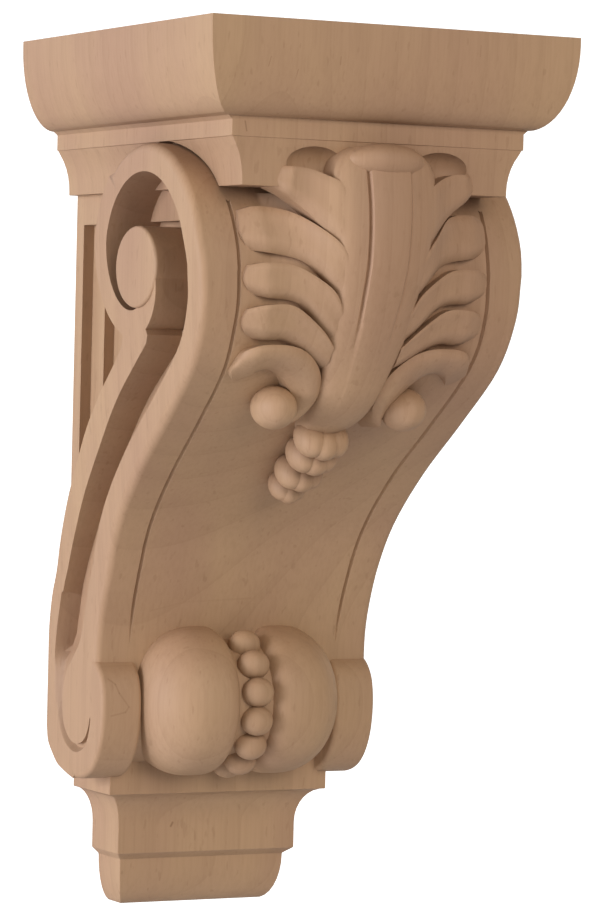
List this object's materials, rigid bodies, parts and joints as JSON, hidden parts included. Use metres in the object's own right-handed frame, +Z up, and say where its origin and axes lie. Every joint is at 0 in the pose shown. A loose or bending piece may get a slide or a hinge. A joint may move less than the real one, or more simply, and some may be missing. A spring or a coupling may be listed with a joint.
{
  "type": "wooden corbel bracket",
  "caption": "Carved maple corbel: moulded cap, S-scroll sides with sunk panels, acanthus leaf with curls and a berry pendant, and a bulbed roll over a stepped foot block.",
  "frame": {"origin": "centre of the flat back face that goes against the wall", "axes": "+X to the right as the bracket is seen from the front, +Y into the wall, +Z up; the front faces -Y"},
  "size_m": [0.114, 0.127, 0.254],
  "materials": {
    "maple": "sanded raw hard maple, unfinished, satin"
  },
  "bodies": {
    "root": {"corbel": "maple"}
  },
  "joints": []
}
